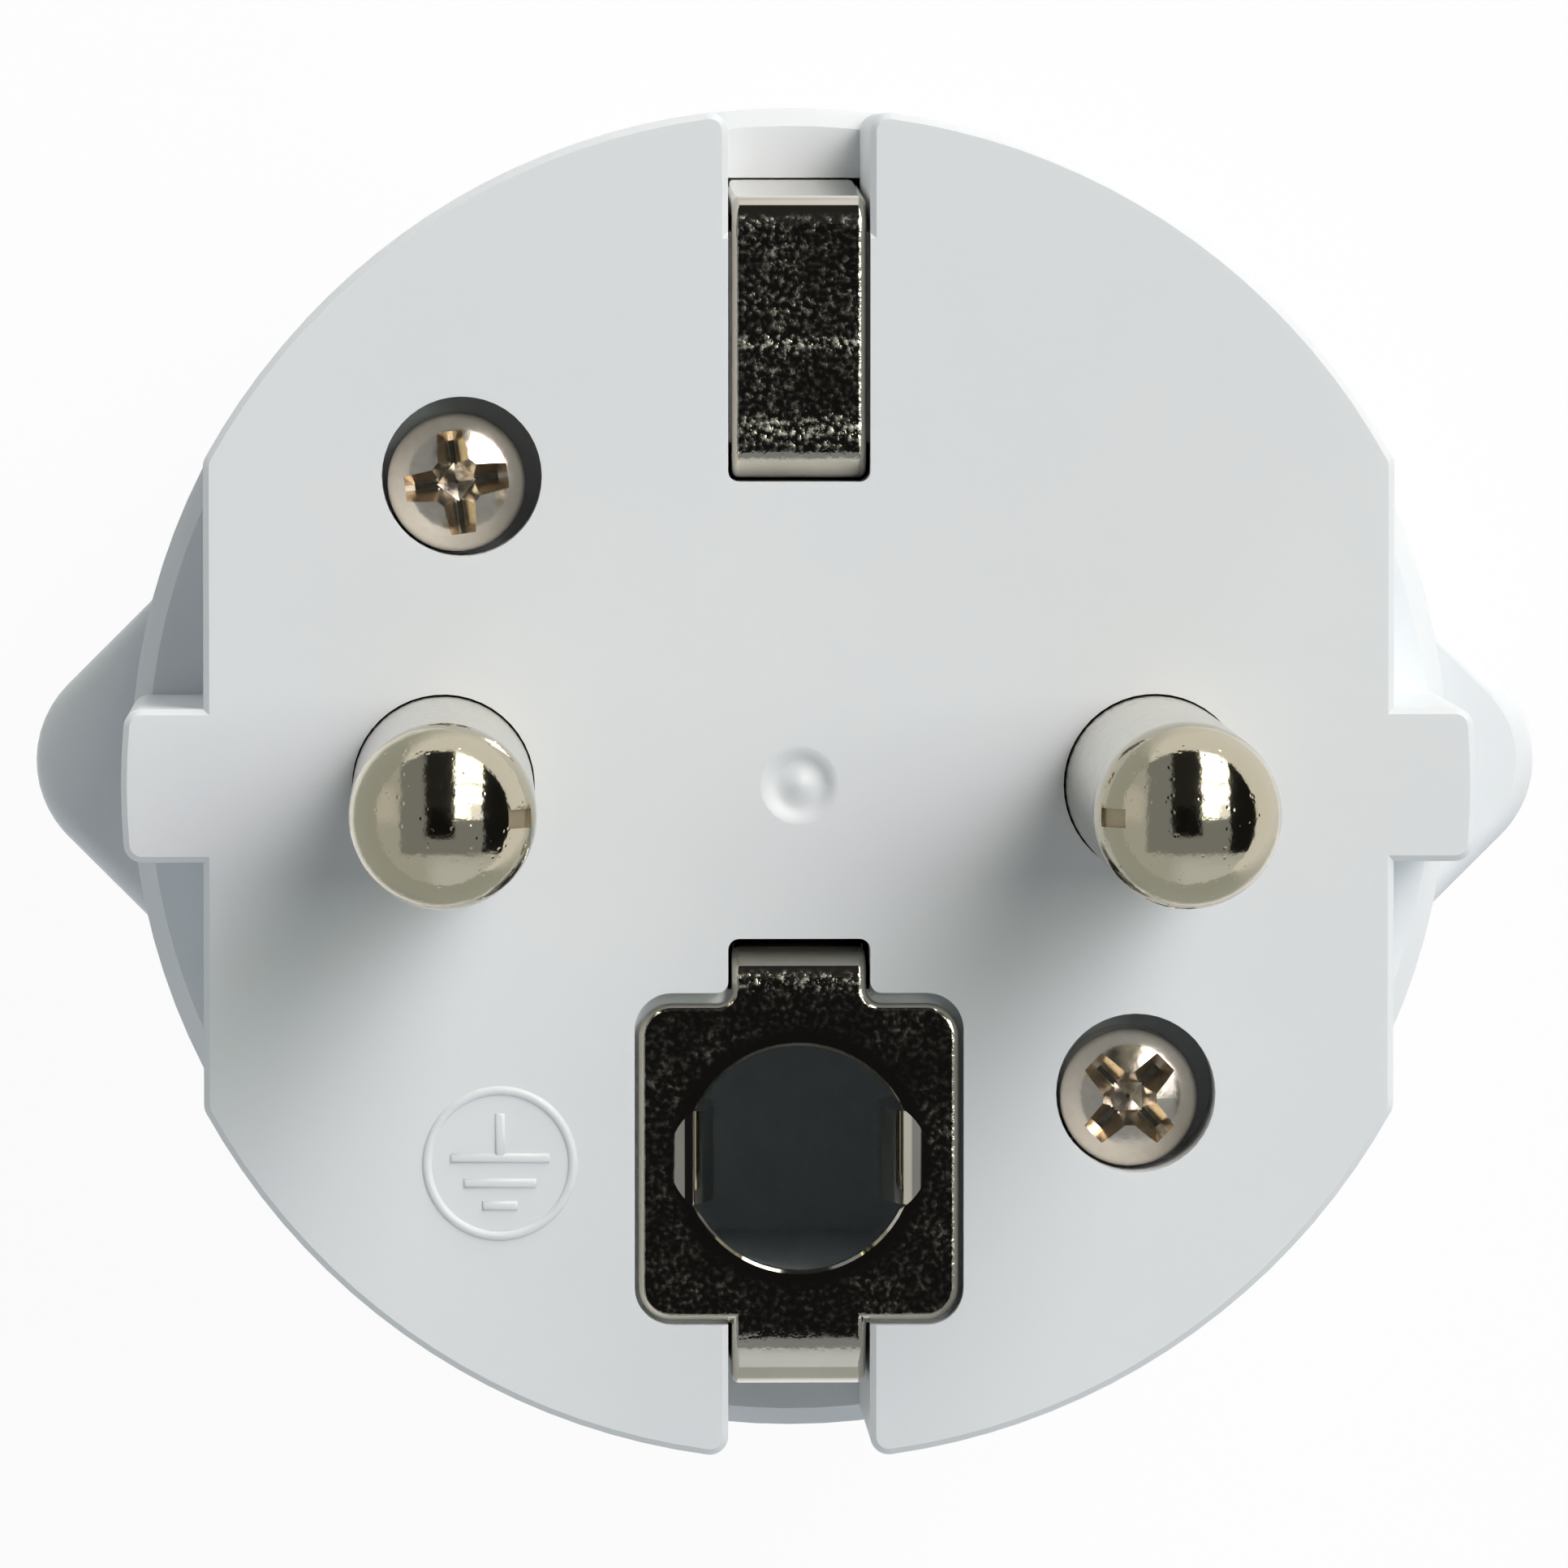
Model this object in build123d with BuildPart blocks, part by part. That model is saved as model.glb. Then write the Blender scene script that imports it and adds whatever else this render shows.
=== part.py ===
from build123d import *
import math
import os

os.makedirs("parts", exist_ok=True)

# Travel adapter: an earthed two-pin plug in front, a three-hole earthed socket behind.
# Sizes are in millimetres. The socket's rim lies on Z = 0 and the pins point along +Z. The two
# poles stand on the X axis, and the earth strap lies along the Y axis.

# Round housing: a front cap that carries the plug face, screwed onto a rear cup
body_radius = 18.1
body_depth = 34.0
cap_depth = 10.0
face_wall = 2.0
side_wall = 2.2
rear_wall = 2.0
rear_draft = 2.0
step_chamfer = 0.5
rim_chamfer = 0.6
lip_height = 1.5
lip_thickness = 1.0
lip_gap = 0.1

# Plug face: a flat with a guide rib on each side, an earth slot at top and bottom
flat_inset = 2.2
rib_width = 4.1
slot_width = 3.8
slot_wall = 1.2
corner_radius = 0.5
root_radius = 0.2
face_chamfer = 0.16
gate_radius = 1.05
gate_ring_radius = 0.58
gate_depth = 0.2
gate_nub_sink = 0.04

# Socket recess: a long hexagon with right-angled points, and the wings that wrap it
recess_length = 36.8
recess_width = 17.4
recess_depth = 9.0
recess_tip_radius = 1.0
floor_thickness = 2.0
well_wall = 1.8
wing_wall = 2.6
wing_depth = 19.0
wing_front_wall = 2.0
wing_tip_radius = 3.0
wing_edge_radius = 0.5
socket_hole_diameter = 4.5
seat_height = 1.5
seat_wall = 0.8

# Places of the poles, of the socket's earth hole and of the plug's earth hole
pole_spacing = 19.0
socket_earth_offset = 5.0
plug_earth_offset = 10.0

# Turned pins with a collar behind the face, drilled from behind for the contacts' spigots
pin_diameter = 4.8
pin_length = 19.0
pin_gap = 0.04
pin_neck_depth = 0.2
pin_collar_diameter = 7.0
pin_collar_height = 1.5
pin_boss_wall = 1.0
pin_boss_height = 2.5
notch_angle = 57.0
notch_length = 1.05
notch_width = 0.48
notch_depth = 0.15

# Slotted contact sleeves and the split rings that press their fingers
sleeve_bore_diameter = 4.1
sleeve_wall = 0.65
sleeve_base = 1.7
sleeve_lead_in = 0.3
sleeve_slot_width = 0.5
sleeve_slot_length = 13.0
sleeve_gap = 0.15
pole_spigot_diameter = 2.9
earth_spigot_diameter = 2.0
spigot_length = 2.0
spigot_gap = 0.05
ring_height = 3.0
ring_width = 2.4
ring_thickness = 0.5
ring_groove_depth = 0.25
ring_opening = 2.0
ring_turn = 45.0

# Earth strap, folded from one strip
strap_width = 3.6
strap_thickness = 0.6
strap_sink = 0.25
strap_gap = 0.1
strap_edge_radius = 0.22
strap_bend_radius = 0.25
foot_bend_radius = 1.0
pocket_corner_radius = 0.3
pocket_headroom = 0.2
clip_inner_end = 8.2
clip_lean = 0.45
tab_inner_end = 4.2
tab_lean = 0.35
leg_inset = 1.95
leg_tuck = 2.5
leg_gap = 0.03
plate_width = 8.6
plate_length = 8.5
plate_center = 10.1
plate_corner_radius = 0.9
tab_root_radius = 0.4
earth_hole_diameter = 6.05
earth_hole_chamfer = 0.08
ledge_clearance = 0.7
chamber_depth = 20.0
chamber_wall = 1.0
chamber_leg_gap = 1.175
leaf_width = 2.5
leaf_spacing = 4.5
leaf_length = 6.0
leaf_lean = 0.4
leaf_press_start = 2.0
leaf_press_length = 2.5
leaf_curve_radius = 1.0
leaf_bulge_radius = 1.6
leaf_bulge = 0.45

# Dome-headed screws that hold the cap to the cup
well_x = 9.0
well_y = 8.25
screw_shift_x = -0.14
screw_shift_y = -0.17
screw_turns = (8.0, 45.0)
screw_well_diameter = 4.27
screw_sink = 0.3
screw_head_diameter = 3.7
screw_head_height = 2.5
screw_dome_radius = 3.1
screw_shoulder_radius = 0.3
screw_shank_diameter = 2.4
screw_length = 12.0
screw_gap = 0.05
screw_seat = 2.6
cross_span = 3.0
cross_arm = 0.9
cross_groove = 0.14
cross_core = 1.5
cross_depth = 1.05
cross_tip_slope = 27.0
cross_tip_width = 0.1
screw_boss_diameter = 6.0
screw_boss_margin = 0.4

# Heights that follow from the sizes above
face_z = body_depth
ceiling_z = face_z - face_wall
parting_z = body_depth - cap_depth
floor_z = recess_depth + floor_thickness
wing_ceiling_z = wing_depth - wing_front_wall
collar_z = ceiling_z - pin_collar_height
drill_z = collar_z + spigot_length + spigot_gap
dome_z = face_z + pin_length - pin_diameter / 2
strap_top_z = face_z - strap_sink
strap_low_z = ceiling_z - strap_gap
leg_end_z = parting_z - leg_tuck
screw_seat_z = face_z - screw_sink - screw_head_height
boss_meeting_z = screw_seat_z - screw_seat

# Places across the housing that follow from the sizes above
pole_x = pole_spacing / 2
flat_x = body_radius - flat_inset
inner_radius = body_radius - side_wall
leg_outer_y = body_radius - leg_inset
leg_inner_y = leg_outer_y - strap_thickness
top_slot_y = leg_inner_y - clip_lean - strap_bend_radius - strap_gap
bottom_slot_y = leg_inner_y - foot_bend_radius - strap_gap
bend_reach = strap_bend_radius + strap_thickness + strap_gap
chamber_x = earth_hole_diameter + 2 * ledge_clearance
chamber_near_y = plug_earth_offset - (earth_hole_diameter + ledge_clearance) / 2
chamber_far_y = leg_inner_y - chamber_leg_gap - chamber_wall
chamber_y = chamber_far_y - chamber_near_y
chamber_center = (chamber_near_y + chamber_far_y) / 2
sleeve_radius = sleeve_bore_diameter / 2 + sleeve_wall
groove_radius = sleeve_radius - ring_groove_depth
drill_radius = pole_spigot_diameter / 2 + spigot_gap
poles = (("line", -pole_x), ("neutral", pole_x))
well_places = ((-well_x, well_y), (well_x, -well_y))
screw_places = tuple((x + screw_shift_x, y + screw_shift_y) for x, y in well_places)


def socket_hexagon(height, wall, tip_radius):
    """The recess's hexagon, grown by a wall and rounded at its two points."""
    point = recess_length / 2 + wall * math.sqrt(2)
    side = recess_width / 2 + wall
    shoulder = point - side
    with BuildSketch(Plane.XY.offset(height)) as outline:
        with BuildLine():
            Polyline(
                (point, 0),
                (shoulder, side),
                (-shoulder, side),
                (-point, 0),
                (-shoulder, -side),
                (shoulder, -side),
                close=True,
            )
        make_face()
        fillet(outline.vertices().filter_by(lambda vertex: abs(vertex.X) > shoulder + side / 2), tip_radius)
    return outline.sketch


def upright_plane(x, y):
    """A plane whose own axes are the distance from a vertical line at (x, y), and the height."""
    return Plane(origin=(x, y, 0), x_dir=(1, 0, 0), z_dir=(0, -1, 0))


def upright_axis(x, y):
    return Axis((x, y, 0), (0, 0, 1))


def is_root_corner(vertex):
    """True at the inner corners beside the guide ribs and at the bottoms of the earth slots."""
    beside_rib = abs(vertex.Y) < rib_width and abs(vertex.X) < body_radius - flat_inset / 2
    in_slot = abs(vertex.X) < slot_width and abs(vertex.Y) < leg_outer_y
    return beside_rib or in_slot


def is_pocket_end(vertex):
    """True at the corners of the strap's pocket where the strap dives through the face."""
    return strap_gap - tab_inner_end - bend_reach / 2 < vertex.Y < clip_inner_end + bend_reach / 2


def is_tab_root(point):
    """True at the inner corners where the strap's tab widens into its plate."""
    beside_plate = abs(point.Y + plate_center - plate_length / 2) < 2 * strap_gap + pocket_headroom
    return beside_plate and abs(abs(point.X) - strap_width / 2) < 2 * strap_gap


def is_earth_hole_edge(edge):
    """True on the edges of the hole in the strap's plate."""
    reach = edge.center() - Vector(0, -plug_earth_offset, strap_top_z)
    return reach.length < earth_hole_diameter / 2 + leaf_bulge


# Front shell
with BuildPart() as front_shell:
    with BuildSketch(Plane.XY.offset(parting_z)) as cap_outline:
        Rectangle(2 * flat_x, 2 * body_radius)
        Rectangle(2 * body_radius, rib_width)
        Circle(body_radius, mode=Mode.INTERSECT)
        for slot_y, side in ((top_slot_y, Align.MIN), (-bottom_slot_y, Align.MAX)):
            with Locations((0, slot_y)):
                Rectangle(slot_width, body_radius, align=(Align.CENTER, side), mode=Mode.SUBTRACT)
        roots = cap_outline.vertices().filter_by(is_root_corner)
        corners = cap_outline.vertices().filter_by(lambda vertex: not is_root_corner(vertex))
        fillet(corners, corner_radius)
        fillet(roots, root_radius)
    extrude(amount=cap_depth)
    chamfer(front_shell.edges().group_by(Axis.Z)[-1], face_chamfer)
    # Hollow, with a wall left round each slot
    with BuildSketch(Plane.XY.offset(parting_z)):
        Circle(inner_radius)
        Rectangle(2 * (flat_x - side_wall), 2 * body_radius, mode=Mode.INTERSECT)
        for slot_y, side in ((top_slot_y - slot_wall, Align.MIN), (slot_wall - bottom_slot_y, Align.MAX)):
            with Locations((0, slot_y)):
                Rectangle(
                    slot_width + 2 * slot_wall,
                    body_radius,
                    align=(Align.CENTER, side),
                    mode=Mode.SUBTRACT,
                )
    extrude(amount=cap_depth - face_wall, mode=Mode.SUBTRACT)
    # Rebate that takes the rear shell's lip
    with BuildSketch(Plane.XY.offset(parting_z)):
        Circle(inner_radius + lip_thickness + lip_gap)
        Rectangle(2 * (flat_x - side_wall), 2 * body_radius, mode=Mode.INTERSECT)
        Rectangle(slot_width + 2 * slot_wall, 2 * body_radius, mode=Mode.SUBTRACT)
    extrude(amount=lip_height + lip_gap, mode=Mode.SUBTRACT)
    # Bosses round the pins' collars and the screws
    with BuildSketch(Plane.XY.offset(ceiling_z)):
        with Locations((-pole_x, 0), (pole_x, 0)):
            Circle(pin_collar_diameter / 2 + pin_gap + pin_boss_wall)
    extrude(amount=-pin_boss_height)
    with BuildSketch(Plane.XY.offset(ceiling_z)):
        with Locations(*screw_places):
            Circle(screw_boss_diameter / 2 + screw_boss_margin)
    extrude(amount=boss_meeting_z - ceiling_z)
    with BuildSketch(Plane.XY.offset(ceiling_z)):
        with Locations((-pole_x, 0), (pole_x, 0)):
            Circle(pin_collar_diameter / 2 + pin_gap)
    extrude(amount=-pin_boss_height, mode=Mode.SUBTRACT)
    # Chamber under the earth hole, which keeps a socket's earth pin away from the poles
    with BuildSketch(Plane.XY.offset(ceiling_z)):
        with Locations((0, -chamber_center)):
            RectangleRounded(
                chamber_x + 2 * chamber_wall,
                chamber_y + 2 * chamber_wall,
                plate_corner_radius + chamber_wall,
            )
    extrude(amount=face_wall - chamber_depth)
    with BuildSketch(Plane.XY.offset(face_z)):
        with Locations((0, -chamber_center)):
            RectangleRounded(chamber_x, chamber_y, plate_corner_radius)
    extrude(amount=chamber_wall - chamber_depth, mode=Mode.SUBTRACT)
    with Locations((-pole_x, 0, face_z), (pole_x, 0, face_z)):
        Hole(pin_diameter / 2 + pin_gap)
    for (x, y), well in zip(screw_places, well_places):
        with Locations((x, y, face_z)):
            Hole(screw_shank_diameter / 2 + screw_gap)
        with Locations((*well, face_z)):
            Hole(screw_well_diameter / 2, screw_sink + screw_head_height)
    # Pocket for the earth strap, sunk from the face
    with BuildSketch(Plane.XY.offset(face_z)) as pocket:
        with Locations((0, clip_inner_end - strap_gap)):
            Rectangle(slot_width, leg_outer_y - clip_inner_end, align=(Align.CENTER, Align.MIN))
        with Locations((0, strap_gap - tab_inner_end)):
            Rectangle(slot_width, leg_outer_y - tab_inner_end, align=(Align.CENTER, Align.MAX))
        fillet(pocket.vertices().filter_by(is_pocket_end), pocket_corner_radius)
        with Locations((0, pocket_headroom / 2 - plate_center)):
            RectangleRounded(
                plate_width + 2 * strap_gap,
                plate_length + 2 * strap_gap + pocket_headroom,
                plate_corner_radius + strap_gap,
            )
        fillet(pocket.vertices().filter_by(is_tab_root), tab_root_radius - strap_gap)
    extrude(amount=-(strap_sink + strap_thickness), mode=Mode.SUBTRACT)
    # Slits where the strap dives through the face
    with BuildSketch(Plane.XY.offset(face_z)) as slits:
        with Locations((0, clip_inner_end - strap_gap)):
            Rectangle(slot_width, bend_reach + strap_gap, align=(Align.CENTER, Align.MIN))
        with Locations((0, strap_gap - tab_inner_end)):
            Rectangle(slot_width, bend_reach + strap_gap + tab_lean, align=(Align.CENTER, Align.MAX))
        fillet(slits.vertices().filter_by(is_pocket_end), pocket_corner_radius)
    extrude(amount=-face_wall, mode=Mode.SUBTRACT)
    # Gate mark in the middle of the face: a soft dish round a nub
    with BuildSketch(Plane.XZ):
        with BuildLine():
            nub_top = (0, face_z - gate_nub_sink)
            ring_floor = (gate_ring_radius, face_z - gate_depth)
            dish_edge = (gate_radius, face_z)
            Spline(nub_top, ring_floor, tangents=((1, 0), (1, 0)))
            Spline(ring_floor, dish_edge, tangents=((1, 0), (1, 0)))
            Polyline(dish_edge, (0, face_z), nub_top)
        make_face()
    revolve(axis=Axis.Z, mode=Mode.SUBTRACT)
front_shell.part.label = "front_shell"
export_step(front_shell.part, "parts/front_shell.step")

# Block that becomes the two wings
with BuildPart() as wing_block:
    extrude(socket_hexagon(wing_depth, wing_wall, wing_tip_radius), amount=-wing_depth, taper=rear_draft)
    fillet(wing_block.faces().sort_by(Axis.Z)[-1].edges(), wing_edge_radius)
    chamfer(wing_block.faces().sort_by(Axis.Z)[0].edges(), rim_chamfer)

# Space inside the rear shell: a round hollow that leaves the socket's well standing
with BuildPart() as rear_hollow:
    with BuildSketch(Plane.XY.offset(parting_z)):
        Circle(inner_radius)
    extrude(amount=rear_wall - parting_z, taper=rear_draft)
    extrude(
        socket_hexagon(0, well_wall, recess_tip_radius + well_wall),
        amount=floor_z,
        mode=Mode.SUBTRACT,
    )
    extrude(socket_hexagon(floor_z, 0, recess_tip_radius), amount=wing_ceiling_z - floor_z)

# Rear shell
with BuildPart() as rear_shell:
    with BuildSketch(Plane.XZ) as cup_section:
        with BuildLine():
            Polyline(
                (0, 0),
                (body_radius - parting_z * math.tan(math.radians(rear_draft)), 0),
                (body_radius, parting_z),
                (0, parting_z),
                close=True,
            )
        make_face()
        chamfer(cup_section.vertices().sort_by(Axis.X)[-1], step_chamfer)
        chamfer(cup_section.vertices().group_by(Axis.Y)[0].sort_by(Axis.X)[-1], rim_chamfer)
    revolve(axis=Axis.Z)
    add(wing_block.part)
    add(rear_hollow.part, mode=Mode.SUBTRACT)
    # Lip that registers the front shell, left out at its flats and slots
    with BuildSketch(Plane.XY.offset(parting_z - lip_height)):
        Circle(inner_radius + lip_thickness)
        Circle(inner_radius, mode=Mode.SUBTRACT)
        Rectangle(2 * (flat_x - side_wall - lip_gap), 2 * body_radius, mode=Mode.INTERSECT)
        Rectangle(slot_width + 2 * slot_wall + 2 * lip_gap, 2 * body_radius, mode=Mode.SUBTRACT)
    extrude(amount=2 * lip_height)
    # Screw bosses that stay clear of the cap's walls, and a seat round the mouth of each sleeve
    with BuildSketch(Plane.XY.offset(rear_wall)):
        with Locations(*screw_places):
            Circle(screw_boss_diameter / 2)
        Circle(inner_radius - lip_gap, mode=Mode.INTERSECT)
        Rectangle(2 * (flat_x - side_wall - lip_gap), 2 * body_radius, mode=Mode.INTERSECT)
    extrude(amount=boss_meeting_z - rear_wall)
    with BuildSketch(Plane.XY.offset(floor_z)):
        with Locations((-pole_x, 0), (pole_x, 0), (0, socket_earth_offset)):
            Circle(sleeve_radius + sleeve_gap + seat_wall)
            Circle(sleeve_radius + sleeve_gap, mode=Mode.SUBTRACT)
    extrude(amount=seat_height)
    # Socket recess and its three holes
    extrude(socket_hexagon(0, 0, recess_tip_radius), amount=recess_depth, mode=Mode.SUBTRACT)
    with BuildSketch():
        with Locations((-pole_x, 0), (pole_x, 0), (0, socket_earth_offset)):
            Circle(socket_hole_diameter / 2)
    extrude(amount=floor_z, mode=Mode.SUBTRACT)
    # Blind screw holes, and pockets for the ends of the strap's legs
    with BuildSketch(Plane.XY.offset(boss_meeting_z)):
        with Locations(*screw_places):
            Circle(screw_shank_diameter / 2 + screw_gap)
    extrude(amount=screw_seat - screw_length - screw_head_height, mode=Mode.SUBTRACT)
    with BuildSketch(Plane.XY.offset(parting_z)):
        Rectangle(slot_width, 2 * (leg_outer_y + leg_gap))
        Rectangle(slot_width, 2 * top_slot_y, mode=Mode.SUBTRACT)
    extrude(amount=-leg_tuck - strap_gap, mode=Mode.SUBTRACT)
rear_shell.part.label = "rear_shell"
export_step(rear_shell.part, "parts/rear_shell.step")

# Pins, each with a small notch in its dome on the side that faces the middle
for pole, x in poles:
    with BuildPart() as pin:
        with BuildSketch(upright_plane(x, 0)):
            with BuildLine():
                dome = CenterArc((0, dome_z), pin_diameter / 2, 0, 90)
                Polyline(
                    dome @ 1,
                    (0, drill_z),
                    (drill_radius, drill_z),
                    (drill_radius, collar_z),
                    (pin_collar_diameter / 2, collar_z),
                    (pin_collar_diameter / 2, ceiling_z),
                    (pin_diameter / 2 - pin_neck_depth, ceiling_z),
                    (pin_diameter / 2 - pin_neck_depth, face_z),
                    (pin_diameter / 2, face_z),
                    dome @ 0,
                )
            make_face()
        revolve(axis=upright_axis(x, 0))
        inward = -math.copysign(math.sin(math.radians(notch_angle)), x)
        outlook = Vector(inward, 0, math.cos(math.radians(notch_angle)))
        with BuildSketch(Plane(Vector(x, 0, dome_z) + outlook * pin_diameter / 2, (0, 1, 0), outlook)):
            Rectangle(notch_width, notch_length)
        extrude(amount=-notch_depth, mode=Mode.SUBTRACT)
    pin.part.label = f"{pole}_pin"
    export_step(pin.part, f"parts/{pole}_pin.step")

# Contact sleeves: the pole sleeves' spigots stand in the drilled pins, the earth sleeve's in the strap
strap_under_z = strap_low_z - strap_thickness
sleeve_seats = (
    ("line", -pole_x, 0, collar_z, pole_spigot_diameter / 2, spigot_length),
    ("neutral", pole_x, 0, collar_z, pole_spigot_diameter / 2, spigot_length),
    ("earth", 0, socket_earth_offset, strap_under_z, earth_spigot_diameter / 2, strap_thickness),
)
for pole, x, y, top_z, spigot_radius, spigot in sleeve_seats:
    bore_radius = sleeve_bore_diameter / 2
    ring_z = floor_z + ring_height
    with BuildPart() as sleeve:
        with BuildSketch(upright_plane(x, y)):
            with BuildLine():
                Polyline(
                    (bore_radius + sleeve_lead_in, floor_z),
                    (sleeve_radius, floor_z),
                    (sleeve_radius, ring_z),
                    (groove_radius, ring_z),
                    (groove_radius, ring_z + ring_width),
                    (sleeve_radius, ring_z + ring_width),
                    (sleeve_radius, top_z),
                    (spigot_radius, top_z),
                    (spigot_radius, top_z + spigot),
                    (0, top_z + spigot),
                    (0, top_z - sleeve_base),
                    (bore_radius, top_z - sleeve_base),
                    (bore_radius, floor_z + sleeve_lead_in),
                    close=True,
                )
            make_face()
        revolve(axis=upright_axis(x, y))
        with BuildSketch(Plane.XY.offset(floor_z)):
            with Locations((x, y)):
                Rectangle(2 * (sleeve_radius + sleeve_gap), sleeve_slot_width)
                Rectangle(sleeve_slot_width, 2 * (sleeve_radius + sleeve_gap))
        extrude(amount=sleeve_slot_length, mode=Mode.SUBTRACT)
    sleeve.part.label = f"{pole}_sleeve"
    export_step(sleeve.part, f"parts/{pole}_sleeve.step")

    with BuildPart() as ring:
        with BuildSketch(Plane.XY.offset(ring_z)):
            with Locations((x, y)):
                Circle(groove_radius + ring_thickness)
                Circle(groove_radius, mode=Mode.SUBTRACT)
            with Locations((x, y)):
                Rectangle(
                    2 * sleeve_radius,
                    ring_opening,
                    align=(Align.MIN, Align.CENTER),
                    rotation=ring_turn,
                    mode=Mode.SUBTRACT,
                )
        extrude(amount=ring_width)
    ring.part.label = f"{pole}_spring_ring"
    export_step(ring.part, f"parts/{pole}_spring_ring.step")

# Earth strap: top clip, run under the face, plate with its hole and leaves, bottom clip
bend = strap_bend_radius + strap_thickness / 2
foot_bend = foot_bend_radius + strap_thickness / 2
face_run_z = strap_top_z - strap_thickness / 2
low_run_z = strap_low_z - strap_thickness / 2
leg_y = leg_outer_y - strap_thickness / 2
clip_dive_y = clip_inner_end + strap_thickness / 2
tab_dive_y = -tab_inner_end - strap_thickness / 2
leaf_x = leaf_spacing / 2 + strap_thickness / 2
with BuildPart() as earth_strap:
    with BuildSketch(Plane.YZ):
        with BuildLine():
            FilletPolyline(
                (leg_y, leg_end_z),
                (leg_y, parting_z),
                (leg_y - clip_lean, face_run_z),
                (clip_dive_y, face_run_z),
                (clip_dive_y, low_run_z),
                (tab_dive_y, low_run_z),
                (tab_dive_y - tab_lean, face_run_z),
                (-leg_y, face_run_z),
                (-leg_y, leg_end_z),
                radius=[foot_bend, bend, bend, bend, bend, bend, foot_bend],
            )
        trace(line_width=strap_thickness)
    extrude(amount=strap_width / 2, both=True)
    with BuildSketch(Plane.XY.offset(strap_top_z)):
        with Locations((0, -plate_center)):
            RectangleRounded(plate_width, plate_length, plate_corner_radius)
    extrude(amount=-strap_thickness)
    tab_roots = earth_strap.edges().filter_by(Axis.Z).filter_by(lambda edge: is_tab_root(edge.center()))
    fillet(tab_roots, tab_root_radius)
    fillet(earth_strap.edges().group_by(Axis.Z)[-1].filter_by(GeomType.LINE), strap_edge_radius)
    with BuildSketch(Plane.XY.offset(strap_top_z)):
        with Locations((0, -plug_earth_offset)):
            Circle(earth_hole_diameter / 2)
        bulge_x = earth_hole_diameter / 2 + leaf_bulge - leaf_bulge_radius
        with Locations((-bulge_x, -plug_earth_offset), (bulge_x, -plug_earth_offset)):
            Circle(leaf_bulge_radius)
    extrude(amount=-strap_thickness, mode=Mode.SUBTRACT)
    chamfer(earth_strap.edges().group_by(Axis.Z)[-1].filter_by(is_earth_hole_edge), earth_hole_chamfer)
    with BuildSketch(Plane.XZ.offset(plug_earth_offset)):
        with BuildLine():
            FilletPolyline(
                (plate_width / 2 - strap_edge_radius - strap_gap, face_run_z),
                (leaf_x + leaf_lean, face_run_z),
                (leaf_x, face_run_z - leaf_press_start),
                (leaf_x, face_run_z - leaf_press_start - leaf_press_length),
                (leaf_x + leaf_lean, face_run_z - leaf_length),
                radius=[bend, leaf_curve_radius, leaf_curve_radius],
            )
        trace(line_width=strap_thickness)
        mirror(about=Plane.YZ)
    extrude(amount=leaf_width / 2, both=True)
    with BuildSketch(Plane.XY.offset(strap_low_z)):
        with Locations((0, socket_earth_offset)):
            Circle(earth_spigot_diameter / 2)
    extrude(amount=-strap_thickness, mode=Mode.SUBTRACT)
earth_strap.part.label = "earth_strap"
export_step(earth_strap.part, "parts/earth_strap.step")

# Cover screws: domed heads with a cross recess, turned as they were left
screw_top_z = screw_seat_z + screw_head_height
dome_reach = math.degrees(math.asin(screw_head_diameter / 2 / screw_dome_radius))
cross_draft = math.degrees(math.atan((cross_arm - cross_groove) / 2 / cross_depth))
core_floor = cross_core - cross_arm + cross_groove
tip_depth = (core_floor - cross_tip_width) / 2 * math.tan(math.radians(cross_tip_slope))
with BuildPart() as cover_screws:
    for (x, y), turn in zip(screw_places, screw_turns):
        with BuildSketch(upright_plane(x, y)) as section:
            with BuildLine():
                crown = CenterArc(
                    (0, screw_top_z - screw_dome_radius),
                    screw_dome_radius,
                    90 - dome_reach,
                    dome_reach,
                )
                Polyline(
                    crown @ 1,
                    (0, screw_seat_z - screw_length),
                    (screw_shank_diameter / 2, screw_seat_z - screw_length),
                    (screw_shank_diameter / 2, screw_seat_z),
                    (screw_head_diameter / 2, screw_seat_z),
                    crown @ 0,
                )
            make_face()
            rim = section.vertices().group_by(Axis.X)[-1].sort_by(Axis.Y)[-1]
            fillet(rim, screw_shoulder_radius)
        revolve(axis=upright_axis(x, y))
        # Cross recess: four arms and a square core with the same draft, and a blunt point below them
        with BuildSketch(Plane.XY.offset(screw_top_z)):
            with Locations((x, y)):
                Rectangle(cross_span, cross_arm, rotation=turn)
                Rectangle(cross_arm, cross_span, rotation=turn)
                Rectangle(cross_core, cross_core, rotation=turn + 45)
        extrude(amount=-cross_depth, taper=cross_draft, mode=Mode.SUBTRACT)
        with BuildSketch(Plane.XY.offset(screw_top_z - cross_depth)):
            with Locations((x, y)):
                Rectangle(core_floor, core_floor, rotation=turn + 45)
        extrude(amount=-tip_depth, taper=90 - cross_tip_slope, mode=Mode.SUBTRACT)
cover_screws.part.label = "cover_screws"
export_step(cover_screws.part, "parts/cover_screws.step")
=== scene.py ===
# %% [markdown]
# # Dressing a travel adapter
# The adapter is a white moulded housing with two nickel pins, a folded earth strap and two screws.
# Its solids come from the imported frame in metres, with the socket's rim on the floor and the pins
# pointing up. This lesson gives each piece its real finish, adds the raised earth symbol, and looks
# straight down on the plug face as the photograph does.

# %% Load the frame
import math

import bmesh
import bpy
from mathutils import Matrix, Vector


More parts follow.
